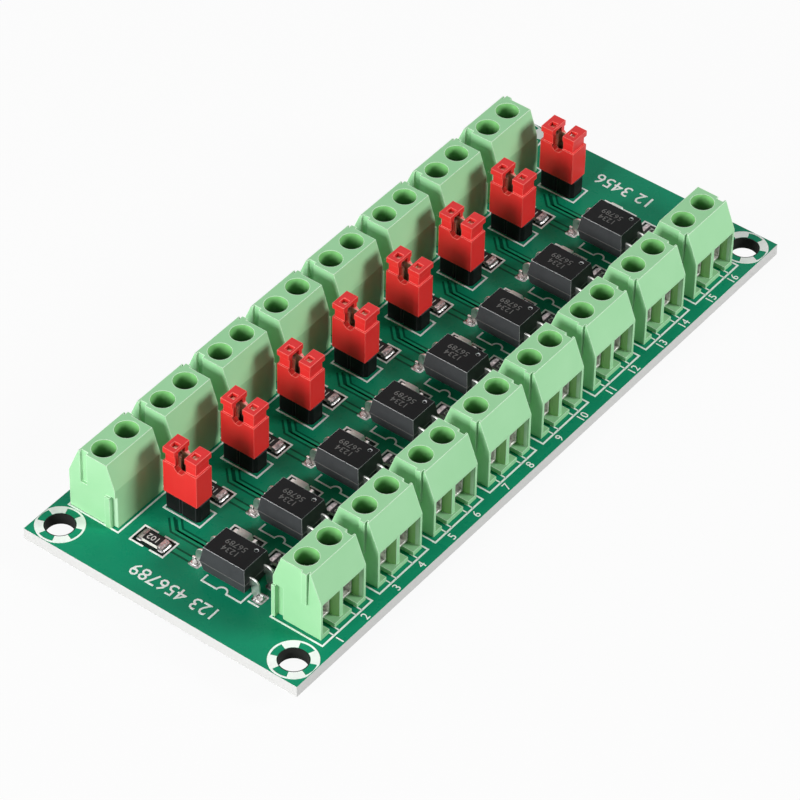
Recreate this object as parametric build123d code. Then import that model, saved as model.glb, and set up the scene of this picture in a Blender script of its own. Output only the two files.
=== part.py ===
from build123d import *
import os

# An eight-channel optocoupler isolation board: screw terminals for the signals along one long edge
# and for the isolated outputs along the other, with one optocoupler and one pull-up jumper between
# each pair. X runs along the board, Y across it from the inputs to the outputs, Z up.
# Z is zero at the tips of the longest solder tails, on which the board stands.

# Board
channels = 8
channel_pitch = 10.32
end_margin = 10.88  # from the middle of the first channel to the end of the board
board_length = (channels - 1) * channel_pitch + 2 * end_margin
board_width = 39.6
board_thickness = 1.6
mount_hole_diameter = 3.5
mount_hole_inset_x = 3.0
mount_hole_inset_y = 2.85

# Terminal housing, a moulding for two wires that enters from its front, local -Y
housing_length = 8.05
housing_depth = 6.8
housing_height = 9.4
top_front_setback = 1.5  # from the front face back to the edge of the flat top
top_rear_setback = 1.15
front_break_height = 5.6
rear_break_height = 6.0
cell_pitch = 4.0
cell_width = 2.85
cell_roof_height = 6.0
mouth_width = 3.4
mouth_recess = 0.3  # how far the post between the wire entries stands back from the front
flare_depth = 0.7
lip_height = 5.3
foot_height = 0.6
foot_slot_width = 1.0
foot_slot_length = 2.6
screw_hole_diameter = 2.8
screw_hole_sides = 10
screw_hole_setback = 3.6  # from the front face to the axis of the screws
tongue_width = 0.75
tongue_depth = 0.3
tongue_setback = 2.2  # from the front face to the middle of the upper tongue
tongue_foot_height = 4.6
key_width = 0.75
key_depth = 0.3
key_height = 4.8
key_setback = 0.6  # from the rear face to the key, and the width of the hook behind it
joint_clearance = 0.1
input_edge_gap = 2.3
output_edge_gap = 1.6
input_row_shift = 0.3
output_row_shift = -0.55

# Terminal metalwork
screw_head_clearance = 0.2
screw_head_height = 1.1
screw_head_sides = 8
screw_shank_diameter = 1.8
screw_shank_sides = 6
thread_clearance = 0.04
cage_wall = 0.3
cage_side_clearance = 0.12
cage_front_reach = 2.2  # from the screw axis
cage_back_reach = 1.15
cage_bottom_height = 1.0
cage_roof_clearance = 0.4  # below the roof of its cell
bar_thickness = 0.5
bar_width = 0.9
bar_height = 2.8  # underside of the contact bar above the board
bar_reach = 1.9  # from the screw axis forward to the tip of the bar
bar_strip_gap = 0.15  # between the cage and the strip behind it
terminal_tail_length = 3.5  # below the upper face of the board

# Pin header and jumper cap
header_pitch = 2.54
header_width = 2.5
header_height = 2.54
header_corner = 0.4
header_pin_size = 0.64
header_tail_length = 3.0
header_pin_rise = 5.4  # above the header base
jumper_x = 3.15  # from the middle of the channel
jumper_gap = 1.75  # from the cap to the back of the output terminals
cap_length = 4.9
cap_width = 2.75
cap_height = 6.85
cap_shoulder_height = 4.75
cap_neck_inset = 0.22
cap_lip_thickness = 0.8
cap_notch_width = 1.5
cap_notch_floor = 5.05
cap_notch_corner = 0.45
cap_scoop_floor = 4.0
cap_scoop_depth = 0.8
cap_roof = 0.5
cap_window = 0.85
cap_window_shift = 0.25  # from the pins towards the scoop
contact_thickness = 0.2
contact_length = 3.9
contact_lip = 1.5
contact_height = 5.3
contact_foot = 0.4  # its lower end above the bottom of the cap
contact_pin_clearance = 0.05
contact_cap_clearance = 0.04

# Optocoupler with gull-wing leads
opto_x = -1.58
opto_y = -3.56
opto_width = 4.7
opto_length = 6.5
opto_standoff = 0.4
opto_height = 3.6
opto_parting_height = 1.95  # above the board
opto_draft = 0.3
lead_pitch = 2.54
lead_width = 1.2
lead_thickness = 0.25
lead_shoulder = 0.85
lead_slant = 0.15
lead_span = 10.3

# Chip resistors
resistor_length = 3.2
resistor_width = 1.6
resistor_height = 0.55
output_resistor_x = -3.31
output_resistor_gap = 2.9  # to the back of the output terminals
input_resistor_x = 2.89
input_resistor_gap = 2.0  # to the back of the input terminals

# Indicator light: a surface-mount diode, its lens on a flat base
light_x = 2.95
light_y = -0.92
light_length = 3.2
light_width = 1.6
light_base_height = 0.5
light_lens_length = 2.0
light_lens_draft = 0.2
light_height = 1.1

board_top = terminal_tail_length
board_bottom = board_top - board_thickness
channel_xs = [(i - (channels - 1) / 2) * channel_pitch for i in range(channels)]
cell_xs = (-cell_pitch / 2, cell_pitch / 2)
housing_front = -housing_depth / 2
screw_y = housing_front + screw_hole_setback
strip_y = screw_y + cage_back_reach + bar_strip_gap  # front face of the upright strip
tail_y = strip_y + bar_thickness / 2
cell_back = strip_y + bar_thickness + joint_clearance
header_ys = (-header_pitch / 2, header_pitch / 2)
input_row_y = -board_width / 2 + input_edge_gap + housing_depth / 2
output_row_y = board_width / 2 - output_edge_gap - housing_depth / 2
jumper_y = output_row_y - housing_depth / 2 - jumper_gap - cap_length / 2
output_resistor_y = output_row_y - housing_depth / 2 - output_resistor_gap - resistor_length / 2
input_resistor_y = input_row_y + housing_depth / 2 + input_resistor_gap + resistor_length / 2
cage_top_height = cell_roof_height - cage_roof_clearance


def block(x0, x1, y0, y1, z0, z1):
    """A box between three pairs of faces."""
    return Pos((x0 + x1) / 2, (y0 + y1) / 2, (z0 + z1) / 2) * Box(x1 - x0, y1 - y0, z1 - z0)


def upright(radius, z0, z1):
    """A cylinder about the local Z axis."""
    return Pos(0, 0, (z0 + z1) / 2) * Cylinder(radius, z1 - z0)


def many_sided(radius, sides, z0, z1):
    """A prism of equal sides about the local Z axis, for a round of which the board has many."""
    return Pos(0, 0, z0) * extrude(RegularPolygon(radius, sides), z1 - z0)


def prism_x(points, width):
    """A Y-Z outline drawn out along X, equally to both sides."""
    return extrude(make_face(Plane.YZ * Polyline(*points, close=True)), width / 2, both=True)


def input_place(i):
    return Pos(channel_xs[i] + input_row_shift, input_row_y, board_top)


def output_place(i):
    """The same terminal turned round, so that its wires come in from the other edge."""
    return Pos(channel_xs[i] + output_row_shift, output_row_y, board_top) * Rot(0, 0, 180)


def jumper_place(i):
    return Pos(channel_xs[i] + jumper_x, jumper_y, board_top)


def opto_place(i):
    return Pos(channel_xs[i] + opto_x, opto_y, board_top)


def tail_slot(width, thickness):
    """A plated slot in the board that its solder tail fills."""
    return block(-width / 2, width / 2, -thickness / 2, thickness / 2, -board_thickness, 0)


def pcb():
    """The laminate, drilled for fixing screws and pierced for terminal tails and header pins."""
    half_length = board_length / 2
    half_width = board_width / 2
    board = block(-half_length, half_length, -half_width, half_width, board_bottom, board_top)
    mount_x = half_length - mount_hole_inset_x
    mount_y = half_width - mount_hole_inset_y
    corner_drill = upright(mount_hole_diameter / 2, board_bottom, board_top)
    holes = [Pos(x, y, 0) * corner_drill for x in (-mount_x, mount_x) for y in (-mount_y, mount_y)]
    terminal_slot = tail_slot(bar_width, bar_thickness)
    header_slot = tail_slot(header_pin_size, header_pin_size)
    for i in range(channels):
        for place in (input_place(i), output_place(i)):
            holes += [place * Pos(x, tail_y, 0) * terminal_slot for x in cell_xs]
        holes += [jumper_place(i) * Pos(0, y, 0) * header_slot for y in header_ys]
    return board - holes


def entry_passage():
    """One wire passage: its cheeks close in from the mouth to the clamp cell."""
    flare_front = housing_front + mouth_recess
    flare_back = flare_front + flare_depth
    narrow = cell_width / 2
    wide = mouth_width / 2
    mouth = ((-wide, flare_front), (wide, flare_front))
    throat = ((narrow, flare_back), (-narrow, flare_back))
    plan = make_face(Polyline(*mouth, *throat, close=True))
    flare = Pos(0, 0, foot_height) * extrude(plan, lip_height - foot_height)
    cell = block(-narrow, narrow, flare_back, cell_back, foot_height, cell_roof_height)
    return [flare, cell]


def terminal_housing():
    """Two-way housing: sloped faces, screw wells, wire entries and the keys that join a row of them."""
    rear = housing_depth / 2
    body = prism_x(
        [
            (housing_front, 0),
            (housing_front, front_break_height),
            (housing_front + top_front_setback, housing_height),
            (rear - top_rear_setback, housing_height),
            (rear, rear_break_height),
            (rear, 0),
        ],
        housing_length,
    )
    end = housing_length / 2
    tongue_y = housing_front + tongue_setback
    half_tongue = tongue_width / 2
    # Upper tongue and the wedge-shaped relief in front of it, on the left end
    tongue_front = tongue_y - half_tongue
    tongue_back = tongue_y + half_tongue
    body += block(-end - tongue_depth, -end, tongue_front, tongue_back, tongue_foot_height, housing_height)
    body -= Pos(-end, 0, 0) * prism_x(
        [
            (tongue_front, tongue_foot_height),
            (tongue_front, housing_height),
            (tongue_front - tongue_depth, housing_height),
        ],
        2 * tongue_depth,
    )
    # Matching slot on the right end, open at the top
    slot_floor = end - tongue_depth - joint_clearance
    slot_front = tongue_front - joint_clearance
    slot_back = tongue_back + joint_clearance
    body -= block(slot_floor, end, slot_front, slot_back, tongue_foot_height, housing_height)
    # Lower key and a recess behind it on the right end, and their mates, a groove and a hook, on the left
    key_back = rear - key_setback
    key_front = key_back - key_width
    cut_depth = key_depth + joint_clearance
    cut_height = key_height + joint_clearance
    hook_front = key_back + joint_clearance
    body += block(end, end + key_depth, key_front, key_back, 0, key_height)
    body -= block(end - cut_depth, end, key_back, rear, 0, cut_height)
    body += block(-end - key_depth, -end, hook_front, rear, 0, key_height)
    body -= block(-end, cut_depth - end, key_front - joint_clearance, hook_front, 0, cut_height)
    mouth_back = housing_front + mouth_recess
    half_mouth = (cell_pitch + mouth_width) / 2
    cuts = [block(-half_mouth, half_mouth, housing_front, mouth_back, foot_height, lip_height)]
    half_foot_slot = foot_slot_width / 2
    half_pin_slot = bar_width / 2 + joint_clearance
    foot_slot = block(
        -half_foot_slot, half_foot_slot, housing_front, housing_front + foot_slot_length, 0, foot_height
    )
    pin_slot = block(-half_pin_slot, half_pin_slot, strip_y - joint_clearance, cell_back, 0, foot_height)
    well = many_sided(screw_hole_diameter / 2, screw_hole_sides, cell_roof_height, housing_height)
    for x in cell_xs:
        cuts += [Pos(x, 0, 0) * cut for cut in (*entry_passage(), foot_slot, pin_slot)]
        cuts.append(Pos(x, screw_y, 0) * well)
    return body - cuts


def terminal_screw():
    """Clamp screw: a cheese head in its well, and a shank through the cage down to the contact bar."""
    head_top = cell_roof_height + screw_head_height
    head_radius = screw_hole_diameter / 2 - screw_head_clearance
    head = many_sided(head_radius, screw_head_sides, cell_roof_height, head_top)
    shank_bottom = bar_height + bar_thickness + thread_clearance
    shank = many_sided(screw_shank_diameter / 2, screw_shank_sides, shank_bottom, cell_roof_height)
    return Pos(0, screw_y, 0) * (head + shank)


def clamp_cage():
    """Strip folded into a sleeve that the screw draws up round the wire; its ends meet at the thread."""
    half_width = cell_width / 2 - cage_side_clearance
    y0 = screw_y - cage_front_reach
    y1 = screw_y + cage_back_reach
    sleeve = block(-half_width, half_width, y0, y1, cage_bottom_height, cage_top_height)
    half_bore = half_width - cage_wall
    bore = block(
        -half_bore, half_bore, y0, y1, cage_bottom_height + cage_wall, cage_top_height - cage_wall
    )
    half_seam = screw_shank_diameter / 2 + thread_clearance
    seam = block(-half_seam, half_seam, y0, y1, cage_top_height - cage_wall, cage_top_height)
    return sleeve - bore - seam


def contact_pin():
    """Bar under the screw, bent down behind the cage into the solder tail."""
    bar_top = bar_height + bar_thickness
    return prism_x(
        [
            (screw_y - bar_reach, bar_height),
            (strip_y, bar_height),
            (strip_y, -terminal_tail_length),
            (strip_y + bar_thickness, -terminal_tail_length),
            (strip_y + bar_thickness, bar_top),
            (screw_y - bar_reach, bar_top),
        ],
        bar_width,
    )


def header_base():
    """Moulded header base for two pins, with clipped corners and a waist between the pins."""
    half_x = header_width / 2
    half_y = header_pitch
    outline = Polyline(
        (-half_x, 0 + header_corner / 2),
        (-half_x, half_y - header_corner),
        (-half_x + header_corner, half_y),
        (half_x - header_corner, half_y),
        (half_x, half_y - header_corner),
        (half_x, header_corner / 2),
        (half_x - header_corner / 2, 0),
        (half_x, -header_corner / 2),
        (half_x, -half_y + header_corner),
        (half_x - header_corner, -half_y),
        (-half_x + header_corner, -half_y),
        (-half_x, -half_y + header_corner),
        (-half_x, -header_corner / 2),
        (-half_x + header_corner / 2, 0),
        close=True,
    )
    base = extrude(make_face(outline), header_height)
    half_pin = header_pin_size / 2
    for y in header_ys:
        base -= block(-half_pin, half_pin, y - half_pin, y + half_pin, 0, header_height)
    return base


def header_pin():
    half_pin = header_pin_size / 2
    tip = header_height + header_pin_rise
    return block(-half_pin, half_pin, -half_pin, half_pin, -header_tail_length, tip)


def jumper_contact():
    """Spring strip folded into a C round both pins, with its lips on their front."""
    inner = header_pin_size / 2 + contact_pin_clearance
    outer = inner + contact_thickness
    half = contact_length / 2
    bottom = header_height + contact_foot
    top = bottom + contact_height
    shell = block(-outer, outer, -half, half, bottom, top)
    hollow = block(-inner, inner, -half + contact_thickness, half - contact_thickness, bottom, top)
    gap = block(-outer, -inner, -half + contact_lip, half - contact_lip, bottom, top)
    return shell - hollow - gap


def jumper_cap():
    """Open-topped jumper cap: a body, and on its shoulder two lobes whose lips overhang their necks."""
    bottom = header_height
    top = bottom + cap_height
    shoulder = bottom + cap_shoulder_height
    lip = top - cap_lip_thickness
    half_x = cap_width / 2
    half_y = cap_length / 2
    neck_x = half_x - cap_neck_inset
    neck_y = half_y - cap_neck_inset
    half_notch = cap_notch_width / 2

    def notch(x0, x1, floor):
        """A cut between the lobes with clipped lower corners."""
        outline = [
            (-half_notch, top),
            (-half_notch, floor + cap_notch_corner),
            (cap_notch_corner - half_notch, floor),
            (half_notch - cap_notch_corner, floor),
            (half_notch, floor + cap_notch_corner),
            (half_notch, top),
        ]
        return Pos((x0 + x1) / 2, 0, 0) * prism_x(outline, x1 - x0)

    cap = block(-half_x, half_x, -half_y, half_y, bottom, shoulder)
    cap += block(-neck_x, neck_x, -neck_y, neck_y, shoulder, lip)
    cap += block(-half_x, half_x, -half_y, half_y, lip, top)
    cap -= notch(-half_x, half_x, bottom + cap_notch_floor)
    cap -= notch(-half_x, cap_scoop_depth - half_x, bottom + cap_scoop_floor)
    pocket_x = header_pin_size / 2 + contact_pin_clearance + contact_thickness + contact_cap_clearance
    pocket_y = contact_length / 2 + contact_cap_clearance
    cap -= block(-pocket_x, pocket_x, -pocket_y, pocket_y, bottom, top - cap_roof)
    half_window = cap_window / 2
    x0 = -cap_window_shift - half_window
    x1 = half_window - cap_window_shift
    for y in header_ys:
        # The window sits at the outer side of the lobe, clear of the notch
        y0 = y + (cap_window / 4 if y > 0 else -cap_window / 4)
        cap -= block(x0, x1, y0 - half_window, y0 + half_window, top - cap_roof, top)
    return cap


def optocoupler_body():
    """Moulded package: two halves that taper away from the parting line."""
    plan = Pos(0, 0, opto_parting_height) * Rectangle(opto_width, opto_length)
    face = Rectangle(opto_width - 2 * opto_draft, opto_length - 2 * opto_draft)
    upper = loft([plan, Pos(0, 0, opto_standoff + opto_height) * face])
    lower = loft([Pos(0, 0, opto_standoff) * face, plan])
    return upper + lower


def gull_wing_lead():
    """One lead on the +Y end of the package, from the parting line out and down to its foot."""
    start = opto_length / 2
    half = lead_thickness / 2
    knee = start + lead_shoulder
    toe = lead_span / 2
    return prism_x(
        [
            (start, opto_parting_height - half),
            (knee - lead_thickness, opto_parting_height - half),
            (knee - lead_thickness + lead_slant, 0),
            (toe, 0),
            (toe, lead_thickness),
            (knee + lead_slant, lead_thickness),
            (knee, opto_parting_height + half),
            (start, opto_parting_height + half),
        ],
        lead_width,
    )


def chip_resistor():
    half_x = resistor_width / 2
    half_y = resistor_length / 2
    return block(-half_x, half_x, -half_y, half_y, 0, resistor_height)


def in_channels(x, y, piece):
    """A copy of a surface-mount piece in each channel."""
    return [Pos(channel_x + x, y, board_top) * piece for channel_x in channel_xs]


def indicator_light():
    """Base with its two end terminals, and the lens that is moulded on it with sloped ends."""
    end = light_length / 2
    lens_foot = light_lens_length / 2
    lens_top = lens_foot - light_lens_draft
    return prism_x(
        [
            (-end, 0),
            (-end, light_base_height),
            (-lens_foot, light_base_height),
            (-lens_top, light_height),
            (lens_top, light_height),
            (lens_foot, light_base_height),
            (end, light_base_height),
            (end, 0),
        ],
        light_width,
    )


def in_cells(place, piece):
    """A copy of a piece in both cells of every terminal of a row."""
    return [place(i) * Pos(x, 0, 0) * piece for i in range(channels) for x in cell_xs]


def write(name, shape):
    export_step(shape, f"parts/{name}.step")


def main():
    os.makedirs("parts", exist_ok=True)
    write("pcb", pcb())
    housing = terminal_housing()
    for row, place in (("input", input_place), ("output", output_place)):
        for i in range(channels):
            write(f"{row}_terminal_housing_{i + 1}", place(i) * housing)
        write(f"{row}_terminal_screws", Compound(in_cells(place, terminal_screw())))
        write(f"{row}_clamp_cages", Compound(in_cells(place, clamp_cage())))
        write(f"{row}_contact_pins", Compound(in_cells(place, contact_pin())))
    base = header_base()
    cap = jumper_cap()
    contact = jumper_contact()
    package = optocoupler_body()
    lead = gull_wing_lead()
    pins = []
    leads = []
    for i in range(channels):
        write(f"jumper_header_{i + 1}", jumper_place(i) * base)
        write(f"jumper_cap_{i + 1}", jumper_place(i) * cap)
        write(f"jumper_contact_{i + 1}", jumper_place(i) * contact)
        write(f"optocoupler_{i + 1}", opto_place(i) * package)
        pins += [jumper_place(i) * Pos(0, y, 0) * header_pin() for y in header_ys]
        for turn in (0, 180):
            end = opto_place(i) * Rot(0, 0, turn)
            leads += [end * Pos(x, 0, 0) * lead for x in (-lead_pitch / 2, lead_pitch / 2)]
    write("header_pins", Compound(pins))
    write("optocoupler_leads", Compound(leads))
    chip = chip_resistor()
    write("input_resistors", Compound(in_channels(input_resistor_x, input_resistor_y, chip)))
    write("output_resistors", Compound(in_channels(output_resistor_x, output_resistor_y, chip)))
    write("indicator_lights", Compound(in_channels(light_x, light_y, indicator_light())))


main()
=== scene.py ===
import math

import bmesh
import bpy
from mathutils import Matrix, Vector


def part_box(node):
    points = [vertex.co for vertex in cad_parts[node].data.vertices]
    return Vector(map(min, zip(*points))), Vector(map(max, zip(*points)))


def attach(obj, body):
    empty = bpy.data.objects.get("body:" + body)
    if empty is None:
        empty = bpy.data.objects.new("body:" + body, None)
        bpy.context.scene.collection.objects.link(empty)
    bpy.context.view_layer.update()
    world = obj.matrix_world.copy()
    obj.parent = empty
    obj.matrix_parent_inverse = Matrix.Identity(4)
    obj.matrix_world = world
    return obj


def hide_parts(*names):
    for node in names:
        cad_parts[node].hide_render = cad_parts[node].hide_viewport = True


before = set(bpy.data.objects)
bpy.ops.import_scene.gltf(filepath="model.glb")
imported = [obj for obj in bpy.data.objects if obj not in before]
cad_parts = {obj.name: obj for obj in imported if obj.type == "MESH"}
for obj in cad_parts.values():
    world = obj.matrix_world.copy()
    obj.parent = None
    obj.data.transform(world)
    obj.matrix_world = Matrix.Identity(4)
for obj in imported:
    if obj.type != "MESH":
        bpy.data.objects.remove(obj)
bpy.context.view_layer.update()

# The circuit board: glass-fibre laminate, sawn to a rectangle and drilled, with green solder mask on both
# faces. The sawn edges show the pale bare laminate, and the walls of the fixing holes look dark.
mm = 0.001
board_low, board_high = (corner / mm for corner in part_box("pcb"))
board_top = board_high.z
board_bottom = board_low.z
half_length = board_high.x
half_width = board_high.y
edge_zone = 0.05
weave_pitch = 0.55
weave_depth = 0.004
mask_shine = 0.1
mask_green = (22, 152, 112)
mask_deep_green = (16, 124, 92)
laminate_pale = (214, 214, 213)
laminate_shadow = (200, 200, 198)
hole_inset_x = 3.0
hole_inset_y = 2.85
bare_rim_radius = 1.87
hole_wall_dark = (34, 36, 34)


def tint(colour):
    """A colour as the eye names it, 0 to 255, as the linear values that a shader takes."""
    shares = [c / 255 for c in colour]
    return (*[c / 12.92 if c <= 0.04045 else ((c + 0.055) / 1.055) ** 2.4 for c in shares], 1.0)


class Wire:
    """The output of a node. A sum or product with it adds a Math node to the same tree."""

    def __init__(self, tree, socket):
        self.tree = tree
        self.socket = socket

    def math(self, operation, *terms):
        settings = {"operation": operation}
        return self.tree.node("ShaderNodeMath", settings, dict(enumerate(terms)))

    def __add__(self, other):
        return self.math("ADD", self, other)

    def __sub__(self, other):
        return self.math("SUBTRACT", self, other)

    def __rsub__(self, other):
        return self.math("SUBTRACT", other, self)

    def __mul__(self, other):
        return self.math("MULTIPLY", self, other)

    def __gt__(self, other):
        return self.math("GREATER_THAN", self, other)

    def __lt__(self, other):
        return self.math("LESS_THAN", self, other)

    __radd__ = __add__
    __rmul__ = __mul__

    def sine(self):
        return self.math("SINE", self)

    def size(self):
        return self.math("ABSOLUTE", self)

    def root(self):
        return self.math("SQRT", self)


class Tree:
    """A node tree, of a material or of a shape, that is written one node at a time."""

    def __init__(self, tree):
        self.tree = tree

    def node(self, kind, settings=None, sockets=None, result=0):
        """A node: first its settings, then a value or a wire for each of the named sockets."""
        made = self.tree.nodes.new(kind)
        for name, value in (settings or {}).items():
            setattr(made, name, value)
        for name, value in (sockets or {}).items():
            if isinstance(value, Wire):
                self.tree.links.new(value.socket, made.inputs[name])
            else:
                made.inputs[name].default_value = value
        return Wire(self, made.outputs[result]) if made.outputs else made

    def place(self):
        return self.node("ShaderNodeTexCoord", result="Object")

    def along(self, axis):
        """The distance along X, Y or Z, in millimetres."""
        return self.node("ShaderNodeSeparateXYZ", {}, {0: self.place()}, axis) * (1 / mm)

    def noise(self, lump, detail=2.0):
        """Smooth noise from 0 to 1, with lumps about that many millimetres across."""
        sockets = {"Vector": self.place(), "Scale": 1 / (lump * mm), "Detail": detail}
        return self.node("ShaderNodeTexNoise", {}, sockets)

    def mix(self, share, first, second):
        """From the first colour to the second as the share goes from 0 to 1."""
        sockets = {0: share, 6: first, 7: second}
        return self.node("ShaderNodeMix", {"data_type": "RGBA"}, sockets, 2)

    def relief(self, height, depth):
        """A normal for fine relief: height from 0 to 1, depth in millimetres."""
        return self.node("ShaderNodeBump", {}, {"Strength": 1.0, "Distance": depth * mm, "Height": height})

    def squarely(self, *ways, within=0.0):
        """The most squarely that the surface looks along one of the ways, up to 1, their signs dropped.
        Within that many millimetres of an edge it counts as turning toward the next face."""
        if within:
            level = self.node("ShaderNodeBevel", {"samples": 6}, {"Radius": within * mm})
        else:
            level = self.node("ShaderNodeNewGeometry", result="True Normal")
        level = self.node("ShaderNodeVectorMath", {"operation": "ABSOLUTE"}, {0: level})
        most = 0
        for way in ways:
            dot = self.node("ShaderNodeVectorMath", {"operation": "DOT_PRODUCT"}, {0: level, 1: way}, "Value")
            most = dot.math("MAXIMUM", dot, most)
        return most


def finish(name):
    """An empty material and its tree."""
    made = bpy.data.materials.new(name)
    made.use_nodes = True
    made.node_tree.nodes.clear()
    return made, Tree(made.node_tree)


def coat(tree, sockets):
    """The surface that ends a material's tree."""
    surface = tree.node("ShaderNodeBsdfPrincipled", {}, sockets, "BSDF")
    tree.node("ShaderNodeOutputMaterial", {}, {"Surface": surface})


def mask_finish(name, light, deep):
    """Solder mask: two close greens in soft patches over a woven cloth that just shows in the gloss."""
    made, tree = finish(name)
    cloth = (tree.along("X") * (math.tau / weave_pitch)).sine()
    cloth = cloth * (tree.along("Y") * (math.tau / weave_pitch)).sine()
    patches = tree.noise(9.0, 3.0)
    mask = tree.mix(patches, tint(light), tint(deep))
    face = tree.squarely((0, 0, 1)) > 0.5
    inside = tree.along("X").size() < half_length - edge_zone
    inside = inside * (tree.along("Y").size() < half_width - edge_zone)
    fibres = tree.noise(0.25, 4.0)
    edge = tree.mix(fibres, tint(laminate_pale), tint(laminate_shadow))
    wall = tree.mix(inside, edge, tint(hole_wall_dark))
    height = tree.mix(face, fibres, cloth * 0.5 + 0.5)
    aside = tree.along("X").size() - (half_length - hole_inset_x)
    behind = tree.along("Y").size() - (half_width - hole_inset_y)
    rim = (aside * aside + behind * behind).root() < bare_rim_radius
    coat(tree, {
        "Base Color": tree.mix(face * (1 - rim), wall, mask),
        "Roughness": 0.75 - face * 0.5 + tree.noise(1.2) * 0.06,
        "Normal": tree.relief(height, weave_depth),
        "Specular IOR Level": mask_shine,
    })
    return made


board_mask = mask_finish("board_mask", mask_green, mask_deep_green)
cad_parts["pcb"].material_slots[0].material = board_mask

# The copper tracks: they lie under the solder mask and stand a hair above the bare laminate. Each shows
# as a band of a lighter green between two dark lines, where the copper round it is etched away.
channels = 8
channel_pitch = ((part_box("optocoupler_2")[0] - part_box("optocoupler_1")[0]) / mm).x
first_channel = -(channels - 1) / 2 * channel_pitch
track_height = 0.02
etched_width = 0.26
etched_green = (4, 84, 62)
track_green = (30, 148, 106)


def make_piece(name, shape, material):
    """An object at the origin, from a shape that is drawn in millimetres."""
    bmesh.ops.scale(shape, vec=(mm, mm, mm), verts=shape.verts)
    mesh = bpy.data.meshes.new(name)
    shape.to_mesh(mesh)
    shape.free()
    mesh.materials.append(material)
    made = bpy.data.objects.new(name, mesh)
    bpy.context.scene.collection.objects.link(made)
    return made


def row_tree():
    """Copies of a mesh along X, as many as Count says and Pitch apart, as one mesh of one finish."""
    made = bpy.data.node_groups.new("along_the_row", "GeometryNodeTree")
    made.is_modifier = True
    for name, kind in (
        ("Mesh", "NodeSocketGeometry"),
        ("Count", "NodeSocketInt"),
        ("Pitch", "NodeSocketFloat"),
        ("Finish", "NodeSocketMaterial"),
    ):
        made.interface.new_socket(name, in_out="INPUT", socket_type=kind)
    made.interface.new_socket("Mesh", in_out="OUTPUT", socket_type="NodeSocketGeometry")
    tree = Tree(made)
    given = tree.node("NodeGroupInput").socket.node.outputs
    entry = {socket.name: Wire(tree, socket) for socket in given if socket.name}
    step = tree.node("ShaderNodeCombineXYZ", {}, {"X": entry["Pitch"]})
    spots = tree.node("GeometryNodeMeshLine", {"mode": "OFFSET"}, {"Count": entry["Count"], "Offset": step})
    copies = tree.node("GeometryNodeInstanceOnPoints", {}, {"Points": spots, "Instance": entry["Mesh"]})
    joined = tree.node("GeometryNodeRealizeInstances", {}, {"Geometry": copies})
    done = tree.node("GeometryNodeSetMaterial", {}, {"Geometry": joined, "Material": entry["Finish"]})
    tree.node("NodeGroupOutput", {}, {"Mesh": done})
    return made


along_the_row = row_tree()


def add_nodes(piece, tree, values):
    """A modifier that runs the tree on the piece, with a value for each named input."""
    modifier = piece.modifiers.new(tree.name, "NODES")
    modifier.node_group = tree
    for item in tree.interface.items_tree:
        if item.in_out == "INPUT" and item.name in values:
            modifier[item.identifier] = values[item.name]


def settle(piece, smooth_below=20):
    """The piece with its modifiers applied, smooth across edges that turn less than the angle."""
    piece.update_tag()
    graph = bpy.context.evaluated_depsgraph_get()
    mesh = bpy.data.meshes.new_from_object(piece.evaluated_get(graph))
    piece.modifiers.clear()
    piece.data = mesh
    mesh.polygons.foreach_set("use_smooth", [True] * len(mesh.polygons))
    mesh.set_sharp_from_angle(angle=math.radians(smooth_below))
    return piece


def in_a_row(piece, *runs, smooth_below=20):
    """The piece copied along X by each run, a count and a pitch in millimetres, and made one mesh."""
    material = piece.data.materials[0]
    for count, pitch in runs:
        add_nodes(piece, along_the_row, {"Count": count, "Pitch": pitch * mm, "Finish": material})
    return settle(piece, smooth_below)


def between_rings(shape, rings, closed=False):
    """The walls between each ring of corners and the next, and the two ends where it isn't closed."""
    count = len(rings[0])
    pairs = list(zip(rings, rings[1:])) + ([(rings[-1], rings[0])] if closed else [])
    for one, other in pairs:
        for k in range(count):
            shape.faces.new((one[k], other[k], other[(k + 1) % count], one[(k + 1) % count]))
    if not closed:
        shape.faces.new(rings[0])
        shape.faces.new(reversed(rings[-1]))
    bmesh.ops.recalc_face_normals(shape, faces=shape.faces)


def line(shape, points, width, low, high, closed=False):
    """A flat band along the points, mitred at its corners, from one height to the other."""
    spots = [Vector(point) for point in points]
    sides = []
    for i, spot in enumerate(spots):
        before = spots[i - 1] if closed or i else None
        after = spots[(i + 1) % len(spots)] if closed or i < len(spots) - 1 else None
        ways = [(spot - before).normalized()] if before else []
        ways += [(after - spot).normalized()] if after else []
        normals = [Vector((-way.y, way.x)) for way in ways]
        mitre = sum(normals, Vector((0, 0))).normalized()
        reach = mitre * (width / 2 / mitre.dot(normals[0]))
        sides.append((spot + reach, spot - reach))
    rings = [
        [shape.verts.new((*side, z)) for side, z in ((a, low), (b, low), (b, high), (a, high))]
        for a, b in sides
    ]
    between_rings(shape, rings, closed)


def at_channel(points, x=first_channel):
    """Points given from the middle of a channel, as places on the board."""
    return [(x + px, py) for px, py in points]


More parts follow.
